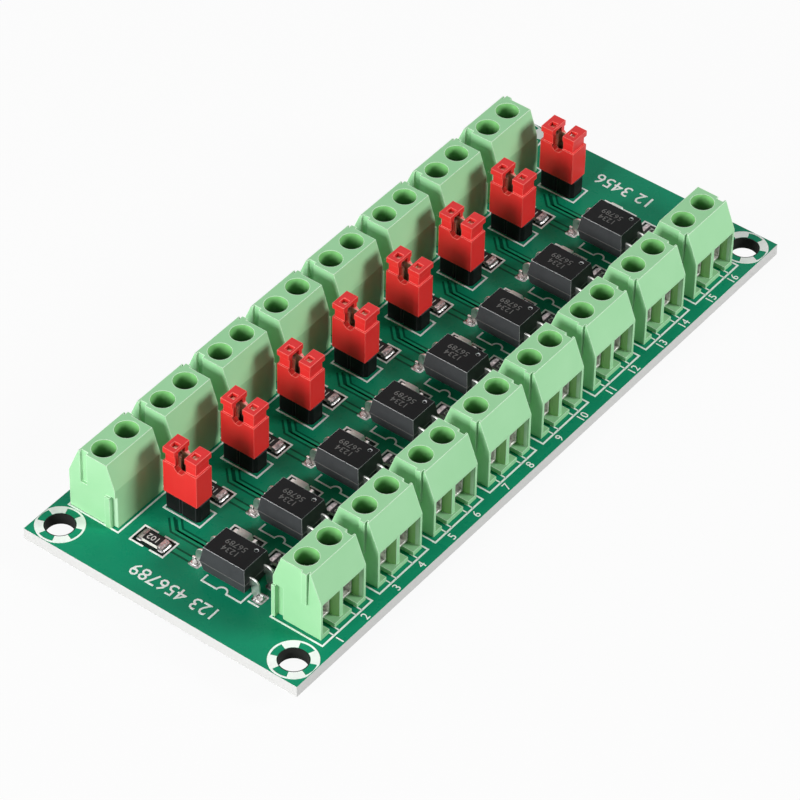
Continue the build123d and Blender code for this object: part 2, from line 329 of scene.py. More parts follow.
# Each track is the line down its middle, from the middle of a channel, and its width. The near-black
# patches inside the boxes of the small parts are painted shade and dark reflection laid on the mask.
tracks = [
    ([(-0.64, -0.2), (-0.64, 6.25), (0.9, 7.79)], 0.34),
    ([(-0.04, -0.2), (-0.04, 5.7), (1.2, 6.94)], 0.34),
    ([(-2.93, 1.0), (-2.93, 4.3)], 0.6),
    ([(2.7, -4.6), (2.7, -3.1)], 0.6),
]
shade_patch_places = ((-4.58, -2.03, 4.58, 9.2), (1.6, 4.3, -3.1, 1.25), (1.6, 4.17, -9.4, -4.8))
painted_shade_dark = (12, 40, 32)
painted_shade_deeper = (8, 28, 24)
etched_lines = bmesh.new()
bands = bmesh.new()
for track, width in tracks:
    line(etched_lines, at_channel(track), width + 2 * etched_width, board_top, board_top + track_height / 2)
    line(bands, at_channel(track), width, board_top, board_top + track_height)
etched = in_a_row(
    make_piece("etched_lines", etched_lines, mask_finish("etched_mask", etched_green, etched_green)),
    (channels, channel_pitch),
)
copper = in_a_row(
    make_piece("copper_tracks", bands, mask_finish("track_mask", track_green, mask_green)),
    (channels, channel_pitch),
)
# Painted shade: near-black patches laid over the mask inside the boxes of the small parts.
shade_patches = bmesh.new()
for x0, x1, y0, y1 in shade_patch_places:
    middle_line = [((x0 + x1) / 2, y0), ((x0 + x1) / 2, y1)]
    line(shade_patches, at_channel(middle_line), x1 - x0, board_top, board_top + track_height / 2)
shade_patch_piece = in_a_row(
    make_piece("painted_shade_patches", shade_patches, mask_finish("painted_shade_mask", painted_shade_dark, painted_shade_deeper)),
    (channels, channel_pitch),
)
for piece in (etched, copper, shade_patch_piece):
    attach(piece, "board")

# The white print: epoxy ink screened on the mask, one box round each component, marks for their pins,
# rings round the fixing holes and plain numbers at the terminals and along both ends of the board.
ink_low = board_top
ink_high = board_top + 0.045
box_line = 0.22
fine_line = 0.16
ink_white = (252, 254, 252)
ink_grey = (238, 243, 239)


def ink_finish():
    made, tree = finish("print_ink")
    coat(tree, {
        "Base Color": tree.mix(tree.noise(0.8, 4.0), tint(ink_white), tint(ink_grey)),
        "Roughness": 0.5 + tree.noise(0.3) * 0.15,
        "Normal": tree.relief(tree.noise(0.15, 3.0), 0.003),
    })
    return made


ink = ink_finish()


def printed(shape, points, width=box_line, closed=False):
    line(shape, at_channel(points), width, ink_low, ink_high, closed)


def split_box(shape, x0, x1, y0, y1, gap):
    """A box whose long sides, along Y, are open in the middle."""
    low = (y0 + y1 - gap) / 2
    high = (y0 + y1 + gap) / 2
    printed(shape, [(x0, low), (x0, y0), (x1, y0), (x1, low)])
    printed(shape, [(x0, high), (x0, y1), (x1, y1), (x1, high)])


component_gap = 0.9
cell_pitch = 4.0
foot_slot_half = 0.5
foot_tick = 0.5
terminal_box_in = (-4.30, 4.65, -18.18, -10.83)
terminal_box_out = (-4.76, 4.19, 10.96, 18.3)
jumper_box = (1.62, 4.51, 4.23, 9.54)
small_part_boxes = ((-4.68, -1.93, 4.48, 9.30), (1.5, 4.4, -3.2, 1.35), (1.5, 4.27, -9.5, -4.7))
package_x = -4.72
package_low = -6.9
package_high = -1.25
package_notch_y = -4.1
package_notch_radius = 0.68
marks = bmesh.new()
for x0, x1, y0, y1 in (terminal_box_in, terminal_box_out, jumper_box):
    printed(marks, [(x0, y0), (x1, y0), (x1, y1), (x0, y1)], closed=True)
for x0, x1, y0, y1 in small_part_boxes:
    split_box(marks, x0, x1, y0, y1, component_gap)
notch = [
    (package_x + package_notch_radius * math.sin(a), package_notch_y + package_notch_radius * math.cos(a))
    for a in (math.pi * k / 10 for k in range(11))
]
corners = [(-3.6, package_high), (package_x, package_high)]
corners += [*notch, (package_x, package_low), (-2.8, package_low)]
printed(marks, corners)
printed(marks, [(-4.0, -7.35), (-4.0, -8.9)])
for (x0, x1, y0, y1), row, way in ((terminal_box_in, "input", 1), (terminal_box_out, "output", -1)):
    low, high = (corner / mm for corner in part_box(f"{row}_terminal_housing_1"))
    middle_x = (low.x + high.x) / 2 - first_channel
    box_y = y0 if way > 0 else y1
    front = low.y if way > 0 else high.y
    for x in (-cell_pitch / 2, cell_pitch / 2):
        for side in (-foot_slot_half, foot_slot_half):
            spot = middle_x + x + side
            printed(marks, [(spot, box_y), (spot, front + way * foot_tick)], fine_line)
channel_print = in_a_row(make_piece("component_outlines", marks, ink), (channels, channel_pitch))
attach(channel_print, "board")

ring_inner = 1.9
window_outer = 2.72
ring_outer = 2.95
window_half_angle = math.radians(22)
ring_steps = 6
ink_margin = 0.08


def on_the_board(spot):
    """The spot, or the nearest one at which ink still holds, just inside the edge of the board."""
    reach_x = half_length - ink_margin
    reach_y = half_width - ink_margin
    return Vector((min(max(spot.x, -reach_x), reach_x), min(max(spot.y, -reach_y), reach_y)))


def sector(shape, centre, inner, outer, start, end, steps):
    """A flat printed piece of a ring."""
    rims = []
    for k in range(steps + 1):
        turn = start + (end - start) * k / steps
        way = Vector((math.cos(turn), math.sin(turn)))
        near, far = (on_the_board(Vector(centre) + way * radius) for radius in (inner, outer))
        rims.append([shape.verts.new((*spot, z)) for spot, z in (
            (near, ink_low), (far, ink_low), (far, ink_high), (near, ink_high),
        )])
    between_rings(shape, rims)


rings = bmesh.new()
for x in (hole_inset_x - half_length, half_length - hole_inset_x):
    for y in (hole_inset_y - half_width, half_width - hole_inset_y):
        for quarter in range(4):
            turn = quarter * math.pi / 2
            first = turn - window_half_angle
            last = turn + window_half_angle
            sector(rings, (x, y), window_outer, ring_outer, first, last, ring_steps)
            sector(rings, (x, y), ring_inner, ring_outer, last, first + math.pi / 2, ring_steps)
hole_rings = settle(make_piece("fixing_hole_rings", rings, ink))
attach(hole_rings, "board")


def write_numbers(shape, words, middle, height, turn, low, high):
    """Plain numbers as flat solids, turned about Z, round their middle."""
    curve = bpy.data.curves.new("numbers", "FONT")
    curve.body = words
    curve.size = height / 0.72
    curve.align_x = "CENTER"
    curve.align_y = "CENTER"
    curve.resolution_u = 2
    curve.extrude = (high - low) / 2
    letters = bpy.data.objects.new("numbers", curve)
    bpy.context.scene.collection.objects.link(letters)
    mesh = bpy.data.meshes.new_from_object(letters.evaluated_get(bpy.context.evaluated_depsgraph_get()))
    lift = Matrix.Translation((*middle, (low + high) / 2))
    mesh.transform(lift @ Matrix.Rotation(math.radians(turn), 4, "Z"))
    shape.from_mesh(mesh)
    bpy.data.objects.remove(letters)
    bpy.data.curves.remove(curve)
    bpy.data.meshes.remove(mesh)


label_y = -19.12
label_pitch = 4.58
label_height = 1.1
end_numbers = (("123 456789", (-44.0, 0.0)), ("12 3456", (43.6, 0.6)))
end_number_height = 1.9
numbers = bmesh.new()
for i in range(channels):
    x = first_channel + i * channel_pitch
    for cell in (0, 1):
        label = str(2 * i + cell + 1)
        spot = (x + (cell - 0.5) * label_pitch, label_y)
        write_numbers(numbers, label, spot, label_height, 0, ink_low, ink_high)
for words, spot in end_numbers:
    write_numbers(numbers, words, spot, end_number_height, 90, ink_low, ink_high)
printed_numbers = settle(make_piece("printed_numbers", numbers, ink))
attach(printed_numbers, "board")

# The terminal housings: sixteen mouldings of pale green polyamide with softly rounded edges, a round well
# over each clamp screw and two wire entries each. They stand on the board and are held by their pins.
well_diameter = 2.9
well_steps = 48
well_full_depth = 3.4
moulding_round = 0.08
housing_highlight_band = 0.12
top_front = 1.5
groove_front = 1.66
merge_distance = 0.001
polyamide_green = (163, 216, 167)
polyamide_deep = (148, 207, 153)
# The next colour is a painted highlight, laid along the housings' rounded edges.
polyamide_edge_highlight = (238, 253, 236)
polyamide_slope = (0, 0.9385, 0.3453)
# The next four colours are painted light and shade: wells lit at the rim and shaded at the floor, entries
# glowing inwards.
well_rim_painted_light = (138, 208, 130)
well_floor_painted_shade = (14, 74, 26)
entry_painted_glow = (176, 222, 150)
entry_painted_shade = (102, 166, 86)
cell_reach = 3.58
cell_low = 0.63
cell_high = 6.1


def merged_shape(node):
    """The closed shape of a node, in millimetres, with its triangles merged and its flat faces whole."""
    shape = bmesh.new()
    shape.from_mesh(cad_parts[node].data)
    bmesh.ops.scale(shape, vec=(1 / mm, 1 / mm, 1 / mm), verts=shape.verts)
    bmesh.ops.remove_doubles(shape, verts=shape.verts, dist=merge_distance)
    bmesh.ops.dissolve_limit(shape, angle_limit=math.radians(1), verts=shape.verts, edges=shape.edges)
    return shape


def round_edges(piece, radius, segments=3, above=30):
    """Rounds the edges that turn more than the angle."""
    bevel = piece.modifiers.new("rounded", "BEVEL")
    bevel.width = radius * mm
    bevel.segments = segments
    bevel.limit_method = "ANGLE"
    bevel.angle_limit = math.radians(above)
    bevel.use_clamp_overlap = True
    bevel.miter_outer = "MITER_ARC"


def column(shape, middle, radius, low, high, steps):
    """An upright cylinder, closed at both ends."""
    sizes = {"radius1": radius, "radius2": radius, "depth": high - low}
    made = bmesh.ops.create_cone(shape, cap_ends=True, segments=steps, **sizes)
    bmesh.ops.translate(shape, vec=(*middle, (low + high) / 2), verts=made["verts"])


def cut_away(piece, shape, name):
    """Cuts a shape out of the piece."""
    tool = make_piece(name, shape, piece.data.materials[0])
    cut = piece.modifiers.new(name, "BOOLEAN")
    cut.object = tool
    cut.solver = "EXACT"
    return tool


flat_faces = ((1, 0, 0), (0, 1, 0), (0, 0, 1))


def plastic_finish(
    name, colour, other, roughness, grain_depth, edge=None, slopes=(), shine=0.5, paint=None, highlight_band_width=0.0,
):
    """Moulded plastic: fine spark-eroded grain, a colour that drifts as it sets, and edges painted paler as a
    highlight.
    """
    made, tree = finish(name)
    shade = tree.mix(tree.noise(5.0, 3.0), tint(colour), tint(other))
    # Painted highlight: the rounded edges take the paler edge colour, most where they face up.
    if edge:
        rounded = tree.squarely(*flat_faces, *slopes, within=highlight_band_width) < 0.985
        lit_from_above = 0.45 + tree.squarely((0, 0, 1)) * 0.8
        shade = tree.mix(rounded * lit_from_above * (0.6 + tree.noise(1.0) * 0.5), shade, tint(edge))
    if paint:
        shade = paint(tree, shade)
    coat(tree, {
        "Base Color": shade,
        "Roughness": roughness + tree.noise(0.6) * 0.12,
        "Normal": tree.relief(tree.noise(0.12, 3.0), grain_depth),
        "Specular IOR Level": shine,
    })
    return made


def well_shade_entry_glow_paint(low, high, screw_y, front, inwards):
    """Painted light and shade in a housing: wells painted darker with depth, entries a painted yellow-green
    glow.
    """
    def paint(tree, shade):
        across = tree.along("X") - (low.x + high.x) / 2
        across = across.math("PINGPONG", across, channel_pitch / 2)
        aside = across - cell_pitch / 2
        along = tree.along("Y")
        height = tree.along("Z")
        behind = along - screw_y
        in_well = (aside * aside + behind * behind).root() < well_diameter / 2 + 0.05
        in_well = in_well * (height > board_top + cell_high - 0.3) * (height < high.z - 0.03)
        well_depth = (high.z - height) * (1 / well_full_depth)
        entry_depth = (along - front) * inwards
        in_cell = (entry_depth > 0.35) * (entry_depth < 6.3) * (across < cell_reach)
        in_cell = in_cell * (height > board_top + cell_low) * (height < board_top + cell_high - 0.02)
        # Painted glow in the entries and painted shade down the wells.
        entry = tree.mix(entry_depth * 0.4, tint(entry_painted_glow), tint(entry_painted_shade))
        well = tree.mix(well_depth, tint(well_rim_painted_light), tint(well_floor_painted_shade))
        return tree.mix(in_well, tree.mix(in_cell, shade, entry), well)
    return paint


for row in ("input", "output"):
    nodes = [f"{row}_terminal_housing_{i + 1}" for i in range(channels)]
    low, high = (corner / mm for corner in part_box(nodes[0]))
    screws_low, screws_high = (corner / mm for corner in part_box(f"{row}_terminal_screws"))
    screw_y = (screws_low.y + screws_high.y) / 2
    middle_x = (low.x + high.x) / 2
    front, inwards = (low.y, 1) if row == "input" else (high.y, -1)
    polyamide = plastic_finish(
        f"{row}_terminal_polyamide", polyamide_green, polyamide_deep, 0.36, 0.004, polyamide_edge_highlight,
        (polyamide_slope,), 0.35, well_shade_entry_glow_paint(low, high, screw_y, front, inwards), housing_highlight_band,
    )
    shape = merged_shape(nodes[0])
    # The groove in the end starts clear of the edge of the top, so that both edges can be rounded.
    for corner in shape.verts:
        depth = (corner.co.y - front) * inwards
        if corner.co.z > high.z - 0.01 and top_front + 0.01 < depth < groove_front:
            corner.co.y = front + groove_front * inwards
    moulding = make_piece(f"{row}_terminal_mouldings", shape, polyamide)
    wells = bmesh.new()
    for side in (-1, 1):
        spot = (middle_x + side * cell_pitch / 2, screw_y)
        column(wells, spot, well_diameter / 2 + 0.005, screws_high.z - 1.1, high.z + 1, well_steps)
    tool = cut_away(moulding, wells, "wells")
    round_edges(moulding, moulding_round)
    in_a_row(moulding, (channels, channel_pitch), smooth_below=12)
    bpy.data.objects.remove(tool)
    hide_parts(*nodes)
    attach(moulding, "board")

# The clamp metalwork: zinc-plated steel screws with a slot in the head, folded steel cages that lift
# the wire, and tinned brass pins that run from a bar under each screw down through the board.
head_height = 1.1
slot_width = 0.42
slot_depth = 0.55
slot_turn = 38
head_chamfer = 0.14
shank_radius = 0.88
lathe_steps = 32


def metal_finish(name, colour, roughness, scratch=0.0015, dulled=0.86, patch=0.35, metallic=1.0):
    """Plated metal: fine tumbling marks in the roughness and the relief, and patches that have dulled."""
    made, tree = finish(name)
    wear = tree.noise(patch, 4.0)
    coat(tree, {
        "Base Color": tree.mix(wear * 2 - 0.5, tint(colour), tint([c * dulled for c in colour])),
        "Metallic": metallic,
        "Roughness": roughness + wear * 0.16,
        "Normal": tree.relief(tree.noise(0.05, 3.0), scratch),
    })
    return made


plated_steel = metal_finish("plated_steel", (214, 216, 214), 0.2)
tinned = metal_finish("tinned_brass", (240, 240, 236), 0.3)


def turned(shape, middle, profile, steps=lathe_steps):
    """A turned solid about an upright axis, from its profile of radius and height, bottom first."""
    rings = []
    for radius, z in profile:
        if radius:
            turns = [math.tau * k / steps for k in range(steps)]
            rim = [(middle[0] + radius * math.cos(t), middle[1] + radius * math.sin(t), z) for t in turns]
            rings.append([shape.verts.new(spot) for spot in rim])
        else:
            rings.append([shape.verts.new((*middle, z))])
    for one, other in zip(rings, rings[1:]):
        for k in range(steps):
            corners = [one[j % len(one)] for j in (k, k + 1)] + [other[j % len(other)] for j in (k + 1, k)]
            shape.faces.new(dict.fromkeys(corners))


# The cages' near-white, barely metallic, mottled base is a painted highlight for lamps reflected in the
# steel.
cage_steel_painted_highlights = metal_finish("cage_steel_painted_highlights", (255, 252, 246), 0.3, 0.002, 0.45, 0.7, 0.3)
cage_wall = 0.3
cage_fold = 0.07
cage_half_width = 1.3
cage_seam = 0.94


def folded_cage(row, axis):
    """A strip folded into a sleeve about the wire, with a seam along the top for the screw."""
    low, high = (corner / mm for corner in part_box(f"{row}_clamp_cages"))
    half = cage_half_width - cage_wall / 2
    bottom, top = low.z + cage_wall / 2, high.z - cage_wall / 2
    shape = bmesh.new()
    section = [(-cage_seam, top), (-half, top), (-half, bottom)]
    section += [(-x, z) for x, z in reversed(section)]
    line(shape, [(axis[0] + x, z) for x, z in section], cage_wall, -high.y, -low.y)
    stand = Matrix.Rotation(math.radians(90), 4, "X")
    bmesh.ops.transform(shape, matrix=stand, verts=shape.verts)
    return shape


for row in ("input", "output"):
    low, high = (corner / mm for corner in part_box(f"{row}_terminal_screws"))
    bar_top = low.z
    radius = (high.y - low.y) / 2
    middle = (low.x + radius, (low.y + high.y) / 2)
    screw = bmesh.new()
    seat = high.z - head_height
    crown = radius - head_chamfer
    turned(screw, middle, [
        (0, bar_top), (shank_radius * 0.7, bar_top), (shank_radius, bar_top + 0.25),
        (shank_radius, seat), (crown, seat), (radius, seat + head_chamfer),
        (radius, high.z - head_chamfer), (crown, high.z), (0, high.z),
    ])
    screws = make_piece(f"{row}_slotted_screws", screw, plated_steel)
    groove = bmesh.new()
    turn = Matrix.Translation((*middle, high.z)) @ Matrix.Rotation(math.radians(slot_turn), 4, "Z")
    size = Matrix.Diagonal((2 * radius + 1, slot_width, 2 * slot_depth, 1))
    bmesh.ops.create_cube(groove, size=1, matrix=turn @ size)
    tool = cut_away(screws, groove, "slot")
    round_edges(screws, 0.03, 1, 50)
    in_a_row(screws, (2, cell_pitch), (channels, channel_pitch))
    bpy.data.objects.remove(tool)
    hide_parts(f"{row}_terminal_screws")
    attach(screws, "board")
    cages = make_piece(f"{row}_folded_cages", folded_cage(row, middle), cage_steel_painted_highlights)
    round_edges(cages, cage_fold, 3)
    in_a_row(cages, (2, cell_pitch), (channels, channel_pitch))
    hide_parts(f"{row}_clamp_cages")
    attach(cages, "board")
    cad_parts[f"{row}_contact_pins"].material_slots[0].material = tinned

# The solder: a bright cone under the board round every tail, and a low fillet on the top where the
# feet of the optocouplers and the ends of the chips stand on their pads.
joint_radius = 0.95
joint_height = 1.1
joint_crown = (0.5, 0.38)
tail_half_length = 0.45
tail_half_width = 0.25
pin_half = 0.32
round_power = 2
square_power = 5
fillet_steps = 20
fillet_rings = 6
solder = metal_finish("solder", (206, 203, 202), 0.2, 0.012, 0.55, 0.3)


def mound(shape, middle, foot, crown, low, high, power):
    """A concave fillet from a wide foot up to a crown, both given as half sizes along X and Y."""
    rings = []
    for k in range(fillet_rings):
        share = k / (fillet_rings - 1)
        spread = (1 - share) ** 2
        half = [c + (f - c) * spread for f, c in zip(foot, crown)]
        ring = []
        for j in range(fillet_steps):
            turn = math.tau * j / fillet_steps
            across = math.copysign(abs(math.cos(turn)) ** (2 / power), math.cos(turn))
            along = math.copysign(abs(math.sin(turn)) ** (2 / power), math.sin(turn))
            ring.append(shape.verts.new((
                middle[0] + half[0] * across, middle[1] + half[1] * along, low + (high - low) * share,
            )))
        rings.append(ring)
    between_rings(shape, rings)


def joints_under(name, spots):
    """Solder cones under the board at the tails of one channel, repeated in all channels."""
    cones = bmesh.new()
    foot = (joint_radius, joint_radius)
    for spot in spots:
        mound(cones, spot, foot, joint_crown, board_bottom, board_bottom - joint_height, round_power)
    made = in_a_row(make_piece(name, cones, solder), (channels, channel_pitch))
    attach(made, "board")


for row in ("input", "output"):
    low, high = (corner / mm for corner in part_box(f"{row}_contact_pins"))
    tail_y = high.y - tail_half_width if row == "input" else low.y + tail_half_width
    tails = [(low.x + tail_half_length + k * cell_pitch, tail_y) for k in (0, 1)]
    joints_under(f"{row}_terminal_joints", tails)
pins_low, pins_high = (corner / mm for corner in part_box("header_pins"))
pin_x = pins_low.x + pin_half
joints_under("header_joints", [(pin_x, pins_low.y + pin_half), (pin_x, pins_high.y - pin_half)])

# The pin headers: a black moulded base with its corners cut off, and two square tinned pins pressed
# through it. The pins are soldered under the board.
# The grey given for the edges is a painted highlight along the header's rounded edges.
header_black = plastic_finish(
    "header_plastic", (11, 11, 12), (20, 21, 22), 0.4, 0.006, (62, 64, 66), ((0.707, 0.707, 0),), 0.15,
)
base = make_piece("header_bases", merged_shape("jumper_header_1"), header_black)
round_edges(base, 0.07, 2)
in_a_row(base, (channels, channel_pitch))
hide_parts(*[f"jumper_header_{i + 1}" for i in range(channels)])
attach(base, "board")
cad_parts["header_pins"].material_slots[0].material = tinned

# The jumper caps: red mouldings with two lipped lobes and a notch between them, each with a folded
# spring contact inside that grips both pins. A cap lifts straight off its pins.
# The pale pink given for the edges is a painted highlight along the caps' rounded edges.
cap_red = plastic_finish(
    "cap_plastic", (228, 46, 45), (216, 36, 38), 0.3, 0.004, (252, 136, 124), ((0, 0.707, 0.707),), 0.4,
    highlight_band_width=0.1,
)
contact_metal = metal_finish("spring_contact", (238, 226, 196), 0.26)
cap_round = 0.08
tab_shift = (-0.47, 1.45)
tab_foot = 1.2
tab_below_top = 0.57
tab_reach = 0.62
tab_width = 0.7
tab_thickness = 0.1


def strip_tree():
    """A flat strip of metal along a line of edges, bent at each corner with the same radius."""
    made = bpy.data.node_groups.new("bent_strip", "GeometryNodeTree")
    made.is_modifier = True
    for name, kind in (
        ("Mesh", "NodeSocketGeometry"),
        ("Bend Radius", "NodeSocketFloat"),
        ("Width", "NodeSocketFloat"),
        ("Thickness", "NodeSocketFloat"),
        ("Finish", "NodeSocketMaterial"),
    ):
        made.interface.new_socket(name, in_out="INPUT", socket_type=kind)
    made.interface.new_socket("Mesh", in_out="OUTPUT", socket_type="NodeSocketGeometry")
    tree = Tree(made)
    given = tree.node("NodeGroupInput").socket.node.outputs
    entry = {socket.name: Wire(tree, socket) for socket in given if socket.name}
    path = tree.node("GeometryNodeMeshToCurve", {}, {"Mesh": entry["Mesh"]})
    bent = tree.node(
        "GeometryNodeFilletCurve", {"mode": "POLY"},
        {"Curve": path, "Count": 6, "Radius": entry["Bend Radius"], "Limit Radius": True},
    )
    sockets = {"Width": entry["Thickness"], "Height": entry["Width"]}
    section = tree.node("GeometryNodeCurvePrimitiveQuadrilateral", {}, sockets)
    sockets = {"Curve": bent, "Profile Curve": section, "Fill Caps": True}
    strip = tree.node("GeometryNodeCurveToMesh", {}, sockets)
    joined = tree.node("GeometryNodeRealizeInstances", {}, {"Geometry": strip})
    done = tree.node("GeometryNodeSetMaterial", {}, {"Geometry": joined, "Material": entry["Finish"]})
    tree.node("NodeGroupOutput", {}, {"Mesh": done})
    return made


bent_strip = strip_tree()


def path_of(shape, spots):
    """A line of edges from spot to spot."""
    corners = [shape.verts.new(spot) for spot in spots]
    for one, other in zip(corners, corners[1:]):
        shape.edges.new((one, other))


def contact_tabs(name, cap_low, cap_high):
    """The folded upper ends of a spring contact, which show in the windows of its cap."""
    shape = bmesh.new()
    middle = (cap_low + cap_high) / 2
    top = cap_high.z - tab_below_top
    for side in (-1, 1):
        x = middle.x + tab_shift[0]
        y = middle.y + side * tab_shift[1]
        path_of(shape, ((x, y, top - tab_foot), (x, y, top), (x + tab_reach, y, top)))
    made = make_piece(name, shape, contact_metal)
    add_nodes(made, bent_strip, {
        "Bend Radius": tab_thickness * mm,
        "Width": tab_width * mm,
        "Thickness": tab_thickness * mm,
        "Finish": contact_metal,
    })
    return settle(made)


for i in range(channels):
    tabs = contact_tabs(f"jumper_tabs_{i + 1}", *(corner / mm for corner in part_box(f"jumper_cap_{i + 1}")))
    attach(tabs, f"jumper_{i + 1}")
    cap = make_piece(f"jumper_cap_{i + 1}_moulding", merged_shape(f"jumper_cap_{i + 1}"), cap_red)
    round_edges(cap, cap_round)
    settle(cap, 12)
    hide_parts(f"jumper_cap_{i + 1}")
    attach(cap, f"jumper_{i + 1}")
    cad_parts[f"jumper_contact_{i + 1}"].material_slots[0].material = contact_metal

# The optocouplers: black moulding compound round a lead frame, tapered from the parting line so that
# it leaves its mould, with a dimple at the first lead and plain numbers marked on the top.
compound_top = (20, 21, 22)
# The next colour, for the sides, is partly the mould's coarser finish and partly painted light.
compound_side_and_light = (62, 64, 66)
# The next colour is a painted highlight along the packages' rounded edges.
compound_edge_highlight = (204, 206, 208)
opto_slope = (0.983, 0, 0.183)
opto_end_slope = (0, 0.983, 0.183)


def paler_sides_paint_and_light(tree, shade):
    """The sides are painted paler than the top: partly the mould's coarser finish, partly painted light."""
    side = tree.squarely(opto_slope, opto_end_slope) > 0.98
    return tree.mix(side * (0.75 + tree.noise(0.9) * 0.4), shade, tint(compound_side_and_light))


compound_black = plastic_finish(
    "mould_compound", compound_top, (28, 29, 30), 0.5, 0.006, compound_edge_highlight, (opto_slope, opto_end_slope),
    0.1, paler_sides_paint_and_light, 0.07,
)
compound_grey = plastic_finish("laser_mark", (118, 117, 115), (88, 88, 88), 0.6, 0.006, shine=0.2)
parting_height = 1.95
flash_half = 0.04
dimple_radius = 0.24
dimple_depth = 0.06
dimple_from_middle = 1.3
dimple_from_end = 1.2
mark_height = 0.85
mark_sunk = 0.02
mark_proud = 0.008
mark_lines = (("1234", 0.55), ("56789", -0.55))
mark_from_middle = 0.2
opto_low, opto_high = (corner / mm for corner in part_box("optocoupler_1"))
opto_middle = (opto_low + opto_high) / 2
bodies = make_piece("optocoupler_bodies", merged_shape("optocoupler_1"), compound_black)
dimple = bmesh.new()
spot = (opto_middle.x + dimple_from_middle, opto_low.y + dimple_from_end)
column(dimple, spot, dimple_radius, opto_high.z - dimple_depth, opto_high.z + 1, 20)
tool = cut_away(bodies, dimple, "dimple")
round_edges(bodies, 0.09, 2, 25)
in_a_row(bodies, (channels, channel_pitch))
bpy.data.objects.remove(tool)
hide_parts(*[f"optocoupler_{i + 1}" for i in range(channels)])
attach(bodies, "board")

flash = bmesh.new()
flash_z = board_top + parting_height
x0, x1, y0, y1 = opto_low.x, opto_high.x, opto_low.y, opto_high.y
edge = [(x0, y0), (x1, y0), (x1, y1), (x0, y1)]
line(flash, edge, 2 * flash_half, flash_z - flash_half, flash_z + flash_half, True)
flashes = in_a_row(make_piece("parting_lines", flash, compound_grey), (channels, channel_pitch))
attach(flashes, "board")

mark = bmesh.new()
for words, shift in mark_lines:
    spot = (opto_middle.x - shift, opto_middle.y + mark_from_middle)
    write_numbers(mark, words, spot, mark_height, 90, opto_high.z - mark_sunk, opto_high.z + mark_proud)
marked = in_a_row(make_piece("optocoupler_numbers", mark, compound_grey), (channels, channel_pitch))
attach(marked, "board")

# The leads: strips of tinned lead frame that leave the package at its parting line, turn down in two
# soft bends and end in a flat foot, soldered to the board.
lead_pitch = 2.54
lead_width = 1.2
lead_thickness = 0.25
lead_shoulder = 0.85
lead_slant = 0.15
lead_bend = 0.32
lead_toe = 5.13
foot_half_length = 0.55
foot_solder_height = 0.2

wires = bmesh.new()
for end in (-1, 1):
    for side in (-1, 1):
        x = opto_middle.x + side * lead_pitch / 2
        start = opto_middle.y + end * (opto_high.y - opto_middle.y - 0.1)
        knee = opto_middle.y + end * (opto_high.y - opto_middle.y + lead_shoulder - lead_thickness / 2)
        heel = knee + end * lead_slant
        toe = opto_middle.y + end * lead_toe
        foot_z = board_top + lead_thickness / 2 + 0.02
        route = [(start, flash_z), (knee, flash_z), (heel, foot_z), (toe, foot_z)]
        path_of(wires, [(x, y, z) for y, z in route])
leads = make_piece("bent_leads", wires, tinned)
add_nodes(leads, bent_strip, {
    "Bend Radius": lead_bend * mm,
    "Width": lead_width * mm,
    "Thickness": lead_thickness * mm,
    "Finish": tinned,
})
round_edges(leads, 0.03, 1, 50)
in_a_row(leads, (channels, channel_pitch))
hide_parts("optocoupler_leads")
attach(leads, "board")

feet = bmesh.new()
for end in (-1, 1):
    for side in (-1, 1):
        spot = (opto_middle.x + side * lead_pitch / 2, opto_middle.y + end * (lead_toe - foot_half_length))
        pad_top = board_top + foot_solder_height
        mound(feet, spot, (0.85, 0.8), (0.6, 0.5), board_top, pad_top, square_power)
soldered_feet = in_a_row(make_piece("lead_solder", feet, solder), (channels, channel_pitch))
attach(soldered_feet, "board")

# The chip resistors: a white ceramic tile, a black glass coat on its top with a plain number, and
# tinned caps over both ends, each in a fillet of solder.
ceramic = plastic_finish("ceramic", (226, 224, 216), (214, 212, 204), 0.5, 0.003)
glass_coat = plastic_finish("glass_coat", (22, 22, 24), (30, 30, 32), 0.26, 0.002, shine=0.25)
coat_numbers = plastic_finish("coat_numbers", (222, 222, 218), (206, 206, 202), 0.5, 0.002)
dull_tin = metal_finish("dull_tin", (242, 228, 228), 0.34, 0.01, 0.3, 0.4)
chip_length = 3.2
chip_width = 1.6
chip_height = 0.55
cap_length = 0.5


def brick(shape, low, high):
    """A rectangular block between two corners."""
    low = Vector(low)
    high = Vector(high)
    size = Matrix.Diagonal((*(high - low), 1))
    bmesh.ops.create_cube(shape, size=1, matrix=Matrix.Translation((low + high) / 2) @ size)


def chip_piece(name, shape, material, radius):
    """A part of a chip, with rounded edges, in every channel."""
    made = make_piece(name, shape, material)
    if radius:
        round_edges(made, radius, 2)
    in_a_row(made, (channels, channel_pitch))
    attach(made, "board")
    return made


def first_of(node):
    """The middle, in plan, of the first of a node's eight like solids."""
    low, high = (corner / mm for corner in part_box(node))
    return ((low.x + high.x) / 2 - (channels - 1) / 2 * channel_pitch, (low.y + high.y) / 2)


def chip_ends(name, spot, height, coverage):
    """Tinned end caps and their solder."""
    x, y = spot
    caps = bmesh.new()
    fillets = bmesh.new()
    for end in (-1, 1):
        outer = y + end * (chip_length / 2)
        inner = outer - end * coverage
        low_y, high_y = sorted((inner, outer))
        half = chip_width / 2
        brick(caps, (x - half, low_y, board_top + 0.03), (x + half, high_y, board_top + height + 0.02))
        middle = (x, y + end * (chip_length / 2 - 0.05))
        mound(fillets, middle, (0.92, 0.5), (0.8, 0.25), board_top, board_top + height * 0.7, square_power)
    chip_piece(f"{name}_end_caps", caps, dull_tin, 0.06)
    chip_piece(f"{name}_solder", fillets, solder, 0)


